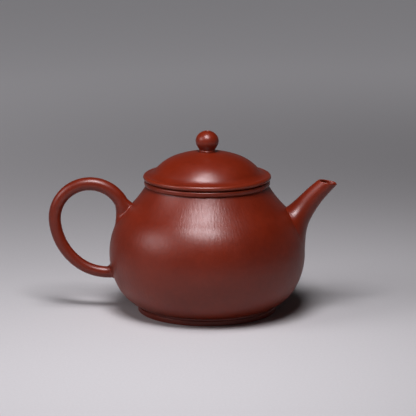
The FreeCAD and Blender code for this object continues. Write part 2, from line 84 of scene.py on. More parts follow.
BELLY_RADIUS = radius_of("body_wall")
WALL_BOTTOM = bottom_of("body_wall")
SHOULDER_JOINT = top_of("body_wall")
NECK_TOP = top_of("shoulder_ring")
BASE_RADIUS = radius_of("base_disc")
BASE_UNDERSIDE = bottom_of("base_disc")
FLOOR_HEIGHT = top_of("base_disc")
FOOT_RADIUS = radius_of("foot_ring")
MOUTH_RING_RADIUS = radius_of("mouth_ring")
SEAT_HEIGHT = top_of("mouth_ring")
RIM_RADIUS = radius_of("lid_plate")
RIM_TOP = top_of("lid_plate")
DOME_TOP = top_of("lid_dome")
FLANGE_RADIUS = radius_of("lid_flange")
FLANGE_BOTTOM = bottom_of("lid_flange")
KNOB_RADIUS = radius_of("knob")

# ---------------------------------------------------------------- sizes of the curves

WALL = 3.0 * MM
BELLY_HEIGHT = 26.2 * MM
BELLY_CURVE = 31.1 * MM
BASE_CURVE = 18.3 * MM
BASE_TURN = -28.8
UPPER_CURVE = 25.5 * MM
UPPER_TURN = 15.7
NECK_CURVE = 49.0 * MM
NECK_TURN = 46.2

FOOT_INNER_RADIUS = 27.0 * MM
FOOT_STEP = 0.5 * MM
FOOT_STEP_HEIGHT = 2.3 * MM
SMALL_EDGE = 0.4 * MM
STEP_EDGE = 0.1 * MM
BASE_DISH = 0.4 * MM  # how far the underside of the base is hollowed

MOUTH_RADIUS = 24.0 * MM
MOUTH_EDGE = 1.0 * MM
RIM_EDGE = 1.1 * MM
PLATE_INNER_RADIUS = 21.0 * MM
DOME_THICKNESS = 2.5 * MM
DOME_CURVE = 43.2 * MM
DOME_TURN = 69.6
FLANK_CURVE = 20.1 * MM
FLANK_TURN = 39.7
DOME_FOOT_CURVE = 5.0 * MM
FLANGE_THICKNESS = 2.0 * MM
FLANGE_EDGE = 0.6 * MM
VENT_RADIUS = 0.9 * MM
VENT_LIP = 0.35 * MM

KNOB_HEIGHT = 77.4 * MM
KNOB_SIDE_CURVE = 4.25 * MM
KNOB_CROWN_TURN = 44.1
KNOB_FLANK_TURN = -32.0
KNOB_NECK_RADIUS = 3.6 * MM
KNOB_NECK_CURVE = 0.6 * MM
KNOB_NECK_TURN = 233.0

# Spout sections from inside the wall to past the lip: top radius and height, bottom radius and height,
# half-width across, all in millimetres.
SPOUT_SECTIONS = np.array([
    (33.0, 46.2, 43.9, 26.5, 14.0),
    (36.0, 47.2, 44.9, 36.8, 8.5),
    (40.6, 51.1, 47.6, 43.7, 5.7),
    (46.4, 56.6, 51.9, 50.3, 4.5),
    (53.2, 62.2, 58.2, 57.4, 3.6),
])
LAST_SECTION = len(SPOUT_SECTIONS) - 1
SPOUT_WALL = 3.0 * MM
SPOUT_LIP = 0.65 * MM
LIP_RISE = 0.6 * SPOUT_LIP  # how far the rounded lip stands above the skins it joins
SPOUT_CUT = (50.3 * MM, 59.5 * MM)
SPOUT_CUT_FALL = 10.5

STRAINER_TURN = 24.0  # how far up the wall the hole behind the spout is, seen from the belly's centre
STRAINER_RADIUS = 6.0 * MM

EAR_CENTRE = (-52.7 * MM, 41.8 * MM)
EAR_CURVE = 15.95 * MM
EAR_START = 28.9
BACK_CURVE = 26.8 * MM
BACK_TURN = 185.2
UNDER_CURVE = 22.0 * MM
UNDER_TURN = 231.4
UNDER_END = 283.0
HANDLE_TOP_RADIUS = 3.12 * MM
HANDLE_END_RADIUS = 2.45 * MM
HANDLE_TAPER = 1.2  # above 1, the coil thins faster near its top
HANDLE_SWELL = 0.4 * MM  # how much the coil thickens where it meets the wall again
SWELL_POWER = 25  # the higher, the nearer to the wall the swelling starts
ROOT_CENTRE = (-35.6 * MM, 43.2 * MM)
ROOT_LEAN = 130.0
ROOT_HALF_HEIGHT = 6.1 * MM
ROOT_HALF_WIDTH = 3.7 * MM
ROOT_FLARE = 1.15  # above 1, the root widens faster near the wall

# ---------------------------------------------------------------- outlines


def step(start, length, degrees):
    """The point that lies a length away from start in that direction."""
    angle = math.radians(degrees)
    return start[0] + length * math.cos(angle), start[1] + length * math.sin(angle)


def circle_side(centre, curve, height, side):
    """The point of a circle at a height, on its outer (+1) or inner (-1) side."""
    return centre[0] + side * math.sqrt(curve**2 - (height - centre[1]) ** 2), height


def circle_height(centre, curve, radius):
    """The highest point of a circle at a radius from the axis."""
    return radius, centre[1] + math.sqrt(curve**2 - (radius - centre[0]) ** 2)


def angle_of(centre, point):
    return math.degrees(math.atan2(point[1] - centre[1], point[0] - centre[0]))


def angle_at(centre, curve, height, side):
    """The angle at which a circle passes a height on its outer (+1) or inner (-1) side."""
    angle = angle_of(centre, circle_side(centre, curve, height, side))
    return angle % 360 if side < 0 else angle


def arc(centre, curve, start, end, pitch=CURVE_PITCH):
    """A stroke of an outline along a circle: rows of radius, height, the two parts of the normal and how
    worn the place gets. An arc that runs clockwise is hollow, so its normal points at its centre; a tight
    one that stands out is an edge, most worn along its middle."""
    count = max(6, math.ceil(abs(math.radians(end - start)) * curve / pitch))
    turn = np.radians(np.linspace(start, end, count + 1))
    direction = np.stack([np.cos(turn), np.sin(turn)], axis=1)
    side = 1.0 if end > start else -1.0
    edge = side > 0 and curve < TIGHT_CURVE
    wear = np.sin(np.linspace(0, math.pi, count + 1)) if edge else np.zeros(count + 1)
    return np.hstack([np.array(centre) + curve * direction, side * direction, wear[:, None]])


def line(start, end, count=1):
    """A straight stroke; the outside is on its right."""
    points = np.linspace(start, end, count + 1)
    along = np.subtract(end, start) / math.dist(start, end)
    normal = np.tile([along[1], -along[0], 0.0], (count + 1, 1))
    return np.hstack([points, normal])


def start_of(strokes):
    return tuple(strokes[0][0, :2])


def end_of(strokes):
    return tuple(strokes[-1][-1, :2])


def polygon(corners, edges):
    """An outline of straight lines, each corner rounded by its own edge radius, drawn anticlockwise."""
    count = len(corners)
    ends = []
    for index, corner in enumerate(corners):
        before = unit(np.subtract(corners[index - 1], corner))
        after = unit(np.subtract(corners[(index + 1) % count], corner))
        ends.append((np.array(corner) + before * edges[index], np.array(corner) + after * edges[index]))
    strokes = []
    for index, (begin, finish) in enumerate(ends):
        if edges[index] > 0:
            strokes.append(corner_round(corners[index], begin, finish, edges[index]))
        target = ends[(index + 1) % count][0]
        if math.dist(finish, target) > HAIR:
            strokes.append(line(tuple(finish), tuple(target)))
    return strokes


def corner_round(corner, begin, finish, edge):
    """A quarter-round from begin to finish inside a square corner."""
    centre = np.array(begin) + np.array(finish) - np.array(corner)
    start = angle_of(centre, begin)
    end = angle_of(centre, finish)
    if end - start > 180:
        end -= 360
    if end - start < -180:
        end += 360
    return arc(tuple(centre), edge, start, end, pitch=EDGE_PITCH)


def reverse(strokes):
    """The same outline drawn the other way, with the outside on the other side."""
    turned = []
    for stroke in reversed(strokes):
        back = stroke[::-1].copy()
        back[:, 2:4] *= -1
        turned.append(back)
    return turned


# ---------------------------------------------------------------- meshes


def unit(vectors):
    return vectors / np.linalg.norm(vectors, axis=-1, keepdims=True)


def full_turn(count, start=0.0):
    """That many angles spread evenly over a full turn. The first is start steps round."""
    return (np.arange(count) + start) * 2 * math.pi / count


def make_object(name, vertices, faces, normals, wear=None):
    """A smooth mesh object; normals has one row per face corner, wear one value per vertex."""
    mesh = bpy.data.meshes.new(name)
    mesh.from_pydata(vertices.tolist(), [], faces)
    mesh.polygons.foreach_set("use_smooth", [True] * len(mesh.polygons))
    mesh.normals_split_custom_set(normals.tolist())
    if wear is not None:
        mesh.attributes.new("wear", "FLOAT", "POINT").data.foreach_set("value", wear)
    piece = bpy.data.objects.new(name, mesh)
    bpy.context.scene.collection.objects.link(piece)
    return piece


def lathe(name, strokes, inside=(), start=0.0):
    """Turns a closed outline round the pot's axis, into a ring of points for each of its points, or one
    point where it meets the axis. Strokes that are numbered in inside get the second material. The first
    sector begins at start, counted in sectors."""
    rings = []
    bands = []
    for number, stroke in enumerate(strokes):
        for here, following in zip(stroke[:-1], stroke[1:]):
            bands.append((len(rings), here, following, number))
            rings.append(here)
    turn = full_turn(SECTORS, start)
    around = np.stack([np.cos(turn), np.sin(turn)], axis=1)
    vertices = []
    wear = []
    first = []
    for radius, height, _, _, worn in rings:
        first.append(len(vertices))
        if radius < ON_AXIS:
            vertices.append((0.0, 0.0, height))
        else:
            vertices.extend((radius * x, radius * y, height) for x, y in around)
        wear.extend([worn] * (len(vertices) - first[-1]))
    first.append(first[0])
    single = [ring[0] < ON_AXIS for ring in rings]
    single.append(single[0])
    faces = []
    normals = []
    kinds = []
    for index, low, high, number in bands:
        for sector in range(SECTORS):
            following = (sector + 1) % SECTORS
            corners = [
                (index, sector, low),
                (index, following, low),
                (index + 1, following, high),
                (index + 1, sector, high),
            ]
            if single[index] and single[index + 1]:
                continue  # the stretch of the outline that runs along the axis
            if single[index]:
                corners.pop(1)
            elif single[index + 1]:
                corners.pop(3)
            faces.append([first[ring] + (0 if single[ring] else at) for ring, at, _ in corners])
            normals.extend((row[2] * around[at][0], row[2] * around[at][1], row[3]) for _, at, row in corners)
            kinds.append(1 if number in inside else 0)
    piece = make_object(name, np.array(vertices), faces, np.array(normals), wear)
    piece.data.polygons.foreach_set("material_index", kinds)
    return piece


def grid_normals(rows, closed):
    """Normals of a grid of points whose columns run all the way round; closed if its rows do too."""
    around = np.roll(rows, -1, axis=1) - np.roll(rows, 1, axis=1)
    if closed:
        along = np.roll(rows, -1, axis=0) - np.roll(rows, 1, axis=0)
    else:
        along = np.gradient(rows, axis=0)
    return unit(np.cross(around, along))


def grid_object(name, rows, normals, caps, wear=None):
    """A closed skin over a grid of points: its last row joins its first, or caps close both ends. Wear has
    one value per row."""
    count, columns = rows.shape[:2]
    vertices = rows.reshape(-1, 3)
    skin = normals.reshape(-1, 3)
    faces = []
    for row in range(count - 1 if caps else count):
        for column in range(columns):
            here = row * columns + column
            beside = row * columns + (column + 1) % columns
            above = ((row + 1) % count) * columns + (column + 1) % columns
            over = ((row + 1) % count) * columns + column
            faces.append([here, beside, above, over])
    if caps:
        for row, facing in ((0, -1), (count - 1, 1)):
            middle = len(vertices)
            vertices = np.vstack([vertices, rows[row].mean(axis=0)])
            skin = np.vstack([skin, normals[row].mean(axis=0)])
            for column in range(columns):
                pair = [row * columns + column, row * columns + (column + 1) % columns]
                faces.append([middle] + pair[::facing])
    corner_normals = skin[[corner for face in faces for corner in face]]
    if wear is not None:
        wear = np.repeat(wear, columns)
    return make_object(name, vertices, faces, corner_normals, wear)


# ---------------------------------------------------------------- the pot's surface

BELLY = (BELLY_RADIUS - BELLY_CURVE, BELLY_HEIGHT)
BASE = step(BELLY, BELLY_CURVE - BASE_CURVE, BASE_TURN)
UPPER = step(BELLY, BELLY_CURVE - UPPER_CURVE, UPPER_TURN)
NECK = step(UPPER, UPPER_CURVE + NECK_CURVE, NECK_TURN)


def vessel_arcs(inset, bottom, top):
    """The pot's side between two heights, moved in by an inset, as strokes that run upwards."""
    arcs = [
        (BASE, BASE_CURVE - inset, -90.0, BASE_TURN),
        (BELLY, BELLY_CURVE - inset, BASE_TURN, UPPER_TURN),
        (UPPER, UPPER_CURVE - inset, UPPER_TURN, NECK_TURN),
        (NECK, NECK_CURVE + inset, 180.0 + NECK_TURN, 180.0),
    ]
    strokes = []
    for centre, curve, start, end in arcs:
        side = 1 if end > start else -1
        lowest = step(centre, curve, start)[1]
        highest = step(centre, curve, end)[1]
        if highest <= bottom or lowest >= top:
            continue
        if lowest < bottom:
            start = angle_at(centre, curve, bottom, side)
        if highest > top:
            end = angle_at(centre, curve, top, side)
        strokes.append(arc(centre, curve, start, end))
    return strokes


def vessel_field(points):
    """How far each point stands outside the pot's wall, and the wall's outward normal there."""
    radius = np.hypot(points[..., 0], points[..., 1])
    height = points[..., 2]

    def offset_from(centre):
        return np.stack([radius - centre[0], height - centre[1]], axis=-1)

    def degrees_of(offset):
        return np.degrees(np.arctan2(offset[..., 1], offset[..., 0]))

    from_belly = offset_from(BELLY)
    from_upper = offset_from(UPPER)
    low = degrees_of(from_belly) < BASE_TURN
    high = degrees_of(from_belly) > UPPER_TURN
    hollow = high & (degrees_of(from_upper) > NECK_TURN)
    offset = np.where(low[..., None], offset_from(BASE), from_belly)
    offset = np.where(high[..., None], from_upper, offset)
    offset = np.where(hollow[..., None], offset_from(NECK), offset)
    curve = np.select([hollow, high, low], [NECK_CURVE, UPPER_CURVE, BASE_CURVE], BELLY_CURVE)
    length = np.linalg.norm(offset, axis=-1)
    sign = np.where(hollow, -1.0, 1.0)
    across = sign * offset[..., 0] / length / radius
    upward = sign * offset[..., 1] / length
    normal = np.stack([across * points[..., 0], across * points[..., 1], upward], axis=-1)
    return sign * (length - curve), normal


def outside_wall(points):
    return vessel_field(points)[0]


def onto_vessel(points, gap):
    """Moves points along the wall's normal until they stand that gap outside it, in three closing steps."""
    for _ in range(3):
        distance, normal = vessel_field(points)
        points = points + normal * (gap - distance)[..., None]
    return points


def feather(rows, reach):
    """Spreads the end of a luted piece out over the wall in a hollow curve that ends flush with it. The
    first row lies on the wall; reach is how far each column's curve comes up the piece."""
    foot = rows[0]
    normal = vessel_field(foot)[1]
    around = np.roll(foot, -1, axis=0) - np.roll(foot, 1, axis=0)
    outward = unit(np.cross(normal, around))
    away = foot - foot.mean(axis=0)
    outward *= np.sign(np.sum(outward * away, axis=1, keepdims=True))
    distance, _ = vessel_field(rows)
    near = np.clip(distance, 0.0, reach)
    shift = reach - np.sqrt(reach**2 - (reach - near) ** 2)
    spread = onto_vessel(rows + outward[None] * shift[..., None], distance)
    clear = np.maximum.accumulate(distance >= reach, axis=0)
    return np.where(clear[..., None], rows, spread)


def sink(row):
    """A row of points by the wall, moved to a hair under its surface."""
    return onto_vessel(row, np.full(len(row), -HAIR))


# ---------------------------------------------------------------- turned pieces

DOME = (0.0, DOME_TOP - DOME_CURVE)  # centre of the crown's curve


def build_body_wall():
    """The belly wall, standing on the foot ring and round the base disc, with a hole behind the spout."""
    outside = vessel_arcs(0.0, WALL_BOTTOM, SHOULDER_JOINT)
    hollow = reverse(vessel_arcs(WALL, FLOOR_HEIGHT, SHOULDER_JOINT))
    joint = line(end_of(outside), start_of(hollow), 4)
    floor = line(end_of(hollow), (BASE_RADIUS, FLOOR_HEIGHT), 3)
    seat = line((BASE_RADIUS, FLOOR_HEIGHT), (BASE_RADIUS, WALL_BOTTOM), 2)
    under = line((BASE_RADIUS, WALL_BOTTOM), start_of(outside), 4)
    strokes = outside + [joint] + hollow + [floor, seat, under]
    first = len(outside) + 1
    piece = lathe("body_wall_clay", strokes, inside=range(first, first + len(hollow) + 1))
    bore_wall(piece)
    restore_normals(piece.data)
    return piece


def wall_cutter():
    """A rod that crosses the wall behind the spout, square to it."""
    lift = math.radians(STRAINER_TURN)
    direction = np.array([math.cos(lift), 0.0, math.sin(lift)])
    start = np.array([BELLY[0], 0.0, BELLY[1]]) + direction * (BELLY_CURVE - 2 * WALL)
    across = np.array([0.0, 1.0, 0.0])
    upright = np.cross(direction, across)
    turn = full_turn(64)
    ring = STRAINER_RADIUS * (np.cos(turn)[:, None] * across + np.sin(turn)[:, None] * upright)
    rows = np.stack([start + ring, start + ring + direction * 4 * WALL])
    return grid_object("cutter", rows, grid_normals(rows, False), caps=True)


def bore_wall(piece):
    cutter = wall_cutter()
    modifier = piece.modifiers.new("hole", "BOOLEAN")
    modifier.object = cutter
    modifier.solver = "EXACT"
    bpy.context.view_layer.update()
    cut = bpy.data.meshes.new_from_object(piece.evaluated_get(bpy.context.evaluated_depsgraph_get()))
    piece.modifiers.clear()
    piece.data = cut
    bpy.data.objects.remove(cutter)


def restore_normals(mesh):
    """Puts the exact normals back on both faces of the wall after a cut; all other faces are left flat."""
    points = np.array([vertex.co for vertex in mesh.vertices])
    distance, normal = vessel_field(points)
    on_face = (abs(distance) < HAIR) | (abs(distance + WALL) < HAIR)
    corner_normals = np.zeros((len(mesh.loops), 3))
    for face in mesh.polygons:
        flat = np.array(face.normal)
        for loop in face.loop_indices:
            vertex = mesh.loops[loop].vertex_index
            facing = float(flat @ normal[vertex])
            along_wall = abs(facing) > 0.9 and on_face[vertex]
            corner_normals[loop] = math.copysign(1.0, facing) * normal[vertex] if along_wall else flat
    mesh.normals_split_custom_set(corner_normals.tolist())


def build_shoulder_ring():
    outside = vessel_arcs(0.0, SHOULDER_JOINT, NECK_TOP)
    hollow = reverse(vessel_arcs(WALL, SHOULDER_JOINT, NECK_TOP))
    top = line(end_of(outside), start_of(hollow), 4)
    joint = line(end_of(hollow), start_of(outside), 4)
    return lathe("shoulder_ring_clay", outside + [top] + hollow + [joint], inside=[len(outside) + 1])


def build_base_disc():
    """The round floor slab, dished a little underneath."""
    crest = BASE_UNDERSIDE + BASE_DISH
    curve = (BASE_RADIUS**2 + BASE_DISH**2) / (2 * BASE_DISH)
    sweep = math.degrees(math.asin(BASE_RADIUS / curve))
    under = arc((0.0, crest - curve), curve, 90.0, 90.0 - sweep, pitch=2 * CURVE_PITCH)
    rim = line((BASE_RADIUS, BASE_UNDERSIDE), (BASE_RADIUS, FLOOR_HEIGHT), 2)
    top = line((BASE_RADIUS, FLOOR_HEIGHT), (0.0, FLOOR_HEIGHT), 20)
    axis = line((0.0, FLOOR_HEIGHT), (0.0, crest))
    return lathe("base_disc_clay", [under, rim, top, axis], inside=[2])


def build_foot_ring():
    """A low coil, stepped in a little above its foot."""
    waist = FOOT_RADIUS - FOOT_STEP
    corners = [
        (FOOT_INNER_RADIUS, 0.0),
        (FOOT_RADIUS, 0.0),
        (FOOT_RADIUS, FOOT_STEP_HEIGHT),
        (waist, FOOT_STEP_HEIGHT),
        (waist, WALL_BOTTOM),
        (FOOT_INNER_RADIUS, WALL_BOTTOM),
    ]
    edges = [SMALL_EDGE, SMALL_EDGE, SMALL_EDGE, STEP_EDGE, 0.0, 0.0]
    return lathe("foot_ring_clay", polygon(corners, edges))


def build_mouth_ring():
    corners = [
        (MOUTH_RADIUS, NECK_TOP),
        (MOUTH_RING_RADIUS, NECK_TOP),
        (MOUTH_RING_RADIUS, SEAT_HEIGHT),
        (MOUTH_RADIUS, SEAT_HEIGHT),
    ]
    return lathe("mouth_ring_clay", polygon(corners, [0.0, MOUTH_EDGE, MOUTH_EDGE, SMALL_EDGE]))


def build_lid_plate():
    """The brim: a flat ring with a full round edge, eased off the seat underneath."""
    edge_centre = (RIM_RADIUS - RIM_EDGE, RIM_TOP - RIM_EDGE)
    under_edge = (edge_centre[0], edge_centre[1] - RIM_EDGE)
    seat_end = (edge_centre[0] - RIM_EDGE, SEAT_HEIGHT)
    strokes = [
        line((PLATE_INNER_RADIUS, SEAT_HEIGHT), seat_end, 4),
        line(seat_end, under_edge, 2),
        arc(edge_centre, RIM_EDGE, -90.0, 90.0, pitch=EDGE_PITCH),
        line((edge_centre[0], RIM_TOP), (PLATE_INNER_RADIUS, RIM_TOP), 6),
        line((PLATE_INNER_RADIUS, RIM_TOP), (PLATE_INNER_RADIUS, SEAT_HEIGHT), 2),
    ]
    return lathe("lid_plate_clay", strokes)


def build_lid_dome():
    """A shell that springs from the brim in a hollow curve, feathered out flush, and closes in a low
    crown."""
    flank = step(DOME, DOME_CURVE - FLANK_CURVE, DOME_TURN)
    foot = step(flank, FLANK_CURVE + DOME_FOOT_CURVE, FLANK_TURN)
    toe = step(foot, DOME_FOOT_CURVE, -90.0)
    inner_crown = DOME_CURVE - DOME_THICKNESS
    inner_flank = FLANK_CURVE - DOME_THICKNESS
    sunk = RIM_TOP - HAIR
    heel = circle_side(flank, inner_flank, sunk, 1)

    def vent_angle(curve):
        return math.degrees(math.acos(VENT_RADIUS / curve))

    outer = [
        arc(foot, DOME_FOOT_CURVE, 270.0, 180.0 + FLANK_TURN, pitch=0.15 * MM),
        arc(flank, FLANK_CURVE, FLANK_TURN, DOME_TURN),
        arc(DOME, DOME_CURVE, DOME_TURN, vent_angle(DOME_CURVE)),
    ]
    inner = [
        arc(DOME, inner_crown, vent_angle(inner_crown), DOME_TURN),
        arc(flank, inner_flank, DOME_TURN, angle_of(flank, heel)),
    ]
    vent = line(end_of(outer), start_of(inner), 3)
    floor = line(heel, (toe[0], sunk), 8)
    rise = line((toe[0], sunk), toe)
    first = len(outer) + 1
    inside = range(first, first + len(inner))
    return lathe("lid_dome_clay", outer + [vent] + inner + [floor, rise], inside)


def build_lid_flange():
    """The wall under the brim. Its top is pressed into the brim, a little inside the brim's own wall."""
    inner = FLANGE_RADIUS - FLANGE_THICKNESS
    sunk = SEAT_HEIGHT + HAIR
    corners = [
        (inner, FLANGE_BOTTOM),
        (FLANGE_RADIUS, FLANGE_BOTTOM),
        (FLANGE_RADIUS, sunk),
        (inner + HAIR, sunk),
    ]
    return lathe("lid_flange_clay", polygon(corners, [FLANGE_EDGE, FLANGE_EDGE, 0.0, 0.0]), start=0.5)


def build_knob():
    """A slightly flattened ball on a short neck that flares onto the dome, with the vent down its middle."""
    side = (KNOB_RADIUS - KNOB_SIDE_CURVE, KNOB_HEIGHT)
    crown_gap = side[0] / math.cos(math.radians(KNOB_CROWN_TURN))
    crown_curve = KNOB_SIDE_CURVE + crown_gap
    crown = (0.0, side[1] - crown_gap * math.sin(math.radians(KNOB_CROWN_TURN)))
    slope = math.radians(KNOB_FLANK_TURN)
    flank_start = step(side, KNOB_SIDE_CURVE, KNOB_FLANK_TURN)
    neck_x = KNOB_NECK_RADIUS + KNOB_NECK_CURVE
    run = (flank_start[0] + KNOB_NECK_CURVE * math.cos(slope) - neck_x) / -math.sin(slope)
    flank_end = (flank_start[0] + run * math.sin(slope), flank_start[1] - run * math.cos(slope))
    neck = (neck_x, flank_end[1] + KNOB_NECK_CURVE * math.sin(slope))
    neck_end = step(neck, KNOB_NECK_CURVE, KNOB_NECK_TURN)
    seat_curve = DOME_CURVE - HAIR
    seat_end = circle_height(DOME, seat_curve, neck_end[0])
    seat_start = circle_height(DOME, seat_curve, VENT_RADIUS)
    lip_top = circle_height(crown, crown_curve, VENT_RADIUS + VENT_LIP)
    lip_centre = (VENT_RADIUS + VENT_LIP, lip_top[1] - VENT_LIP)
    strokes = [
        arc(DOME, seat_curve, angle_of(DOME, seat_start), angle_of(DOME, seat_end), pitch=0.3 * MM),
        line(seat_end, neck_end),
        arc(neck, KNOB_NECK_CURVE, KNOB_NECK_TURN, 180.0 + KNOB_FLANK_TURN, pitch=EDGE_PITCH),
        line(flank_end, flank_start, 6),
        arc(side, KNOB_SIDE_CURVE, KNOB_FLANK_TURN, KNOB_CROWN_TURN, pitch=0.2 * MM),
        arc(crown, crown_curve, KNOB_CROWN_TURN, angle_of(crown, lip_top), pitch=0.2 * MM),
        arc(lip_centre, VENT_LIP, 90.0, 180.0, pitch=0.05 * MM),
        line((VENT_RADIUS, lip_centre[1]), seat_start, 4),
    ]
    return lathe("knob_clay", strokes)


# ---------------------------------------------------------------- spout

# Counted along the spout in sections: its skin and its bore leave the wall before the first two of these
# places, and its mouth is cut after the third.
SKIN_LEAVES_WALL = 1.5
BORE_LEAVES_WALL = 1.8
MOUTH_STARTS = 2.0


def smooth_between(stations, at):
    """Runs a natural cubic through evenly spaced stations and reads it at each place."""
    count = len(stations)
    places = np.arange(count)
    matrix = np.eye(count)
    right = np.zeros_like(stations)
    for row in range(1, count - 1):
        matrix[row, row - 1:row + 2] = (1.0, 4.0, 1.0)
        right[row] = 6.0 * (stations[row - 1] - 2.0 * stations[row] + stations[row + 1])
    bend = np.linalg.solve(matrix, right)
    left = np.clip(np.floor(at).astype(int), 0, count - 2)
    t = (at - places[left])[..., None]
    s = 1.0 - t
    return (s * stations[left] + t * stations[left + 1]
            + ((s**3 - s) * bend[left] + (t**3 - t) * bend[left + 1]) / 6.0)


def spout_point(at, around, inset):
    """Points of the spout's skin: at runs along it in sections, around goes round it from the top."""
    section = smooth_between(SPOUT_SECTIONS * MM, at)
    top = section[..., 0:2]
    bottom = section[..., 2:4]
    centre = (top + bottom) / 2
    half = (top - bottom) / 2
    height = np.linalg.norm(half, axis=-1, keepdims=True)
    half = half * (height - inset[..., None]) / height
    width = section[..., 4] - inset
    upright = centre + half * np.cos(around)[..., None]
    return np.stack([upright[..., 0], width * np.sin(around), upright[..., 1]], axis=-1)


def spout_inset(at):
    """How far the bore lies inside the skin: the spout's own wall thins towards the lip."""
    return SPOUT_WALL + (SPOUT_LIP - SPOUT_WALL) * at / LAST_SECTION


def past_mouth(points):
    """How far points stand past the slanting plane in which the spout's lip begins to roll over."""
    fall = math.radians(SPOUT_CUT_FALL)
    along = (points[..., 0] - SPOUT_CUT[0]) * math.sin(fall)
    return along + (points[..., 2] - SPOUT_CUT[1]) * math.cos(fall) + LIP_RISE


def crossing(curve, measure, low, high):
    """For each column, where along the curve the measure goes from below zero to above it, by halving."""
    for _ in range(40):
        middle = (low + high) / 2
        under = measure(curve(middle)) < 0
        low = np.where(under, middle, low)
        high = np.where(under, high, middle)
    return (low + high) / 2


def rows_between(skin, start, end, shares):
    """Rows of a skin at those shares of the way from start to end, which have one value per column."""
    return np.stack([skin(start + (end - start) * share) for share in shares])


def spout_outside(around):
    """Rows of the outer skin, from where it meets the wall to the lip, closer together near the wall. The
    root is spread most on its underside."""
    none = np.zeros(len(around))

    def skin(at):
        return spout_point(at, around, none)

    start = crossing(skin, outside_wall, none, none + SKIN_LEAVES_WALL)
    end = crossing(skin, past_mouth, none + MOUTH_STARTS, none + LAST_SECTION)
    rows = rows_between(skin, start, end, np.linspace(0, 1, 110) ** 1.7)
    side = np.abs(np.sin(around))
    low = np.clip(-np.cos(around), 0, 1)
    return feather(rows, (0.15 + 0.2 * side**2 + 1.4 * low**2) * MM)


def spout_bore(around):
    """Rows of the bore, from the lip back to the wall."""
    none = np.zeros(len(around))

    def skin(at):
        return spout_point(at, around, spout_inset(at))

    start = crossing(skin, outside_wall, none, none + BORE_LEAVES_WALL)
    end = crossing(skin, past_mouth, none + MOUTH_STARTS, none + LAST_SECTION)
    return rows_between(skin, end, start, np.linspace(0, 1, 50))


def round_lip(outer, inner):
    """Rows that roll the outer skin over into the bore."""
    fall = math.radians(SPOUT_CUT_FALL)
    up = np.array([math.sin(fall), 0.0, math.cos(fall)])
    middle = (outer + inner) / 2
    half = (outer - inner) / 2
    turns = np.linspace(0, math.pi, 15)[1:-1]
    return np.stack([middle + half * math.cos(turn) + up * LIP_RISE * math.sin(turn) for turn in turns])


def build_spout():
    """Outer skin from the wall to the lip, a rounded lip, the bore back down to the wall, and the face
    between the two that is pressed onto the wall."""
    around = -full_turn(144)  # this way round, the skin faces outwards
    outer = spout_outside(around)
    bore = spout_bore(around)
    lip = round_lip(outer[-1], bore[0])
    hole = sink(bore[-1])
    edge = sink(outer[0])
    base = np.stack([sink(hole + (edge - hole) * share) for share in np.linspace(0, 1, 8)])
    skin = np.concatenate([outer, lip, bore, base])
    wear = np.zeros(len(skin))
    wear[len(outer):len(outer) + len(lip)] = np.sin(np.linspace(0, math.pi, len(lip)))
    normals = grid_normals(skin, True)
    normals[0] = vessel_field(outer[0])[1]
    return grid_object("spout_clay", skin, normals, False, wear)


# ---------------------------------------------------------------- handle

# A station of the coil is its centre, the way it runs in degrees, its half-height and its half-width.
ROOT_STATIONS = 40
STATION_PITCH = 0.6 * MM


def root_stations():
    """The flared upper root, from inside the wall to where the ear's first bend starts."""
    stations = []
    ear_lean = EAR_START + 90
    ear_start = np.array(step(EAR_CENTRE, EAR_CURVE, EAR_START))
    for share in np.linspace(0, 1, ROOT_STATIONS, endpoint=False):
        grown = (1 - share) ** ROOT_FLARE
        centre = np.array(ROOT_CENTRE) * (1 - share) + ear_start * share
        lean = ear_lean + (ROOT_LEAN - ear_lean) * (1 - share)
        half_height = HANDLE_TOP_RADIUS + (ROOT_HALF_HEIGHT - HANDLE_TOP_RADIUS) * grown
        half_width = HANDLE_TOP_RADIUS + (ROOT_HALF_WIDTH - HANDLE_TOP_RADIUS) * grown
        stations.append((*centre, lean, half_height, half_width))
    return stations


def ear_stations():
    """The round coil, along three bends that run smoothly into one another."""
    back = step(EAR_CENTRE, EAR_CURVE - BACK_CURVE, BACK_TURN)
    under = step(back, BACK_CURVE - UNDER_CURVE, UNDER_TURN)
    bends = [
        (EAR_CENTRE, EAR_CURVE, EAR_START, BACK_TURN),
        (back, BACK_CURVE, BACK_TURN, UNDER_TURN),
        (under, UNDER_CURVE, UNDER_TURN, UNDER_END),
    ]
    lengths = [curve * math.radians(end - start) for _, curve, start, end in bends]
    stations = []
    done = 0.0
    for (centre, curve, start, end), length in zip(bends, lengths):
        for part in np.linspace(0, 1, math.ceil(length / STATION_PITCH), endpoint=False):
            angle = start + (end - start) * part
            share = (done + length * part) / sum(lengths)
            taper = (HANDLE_TOP_RADIUS - HANDLE_END_RADIUS) * (1 - share) ** HANDLE_TAPER
            radius = HANDLE_END_RADIUS + taper + HANDLE_SWELL * share**SWELL_POWER
            stations.append((*step(centre, curve, angle), angle + 90, radius, radius))
        done += length
    return stations


def coil_ring(stations, at, around):
    """Points of the coil's skin: at runs along it in stations, around goes round it from the outside."""
    row = np.clip(at, 0, len(stations) - 1.001)
    left = np.floor(row).astype(int)
    part = (row - left)[..., None]
    station = stations[left] * (1 - part) + stations[left + 1] * part
    lean = np.radians(station[..., 2])
    outward = station[..., 3] * np.cos(around)
    return np.stack([
        station[..., 0] + outward * np.sin(lean),
        station[..., 4] * np.sin(around),
        station[..., 1] - outward * np.cos(lean),
    ], axis=-1)


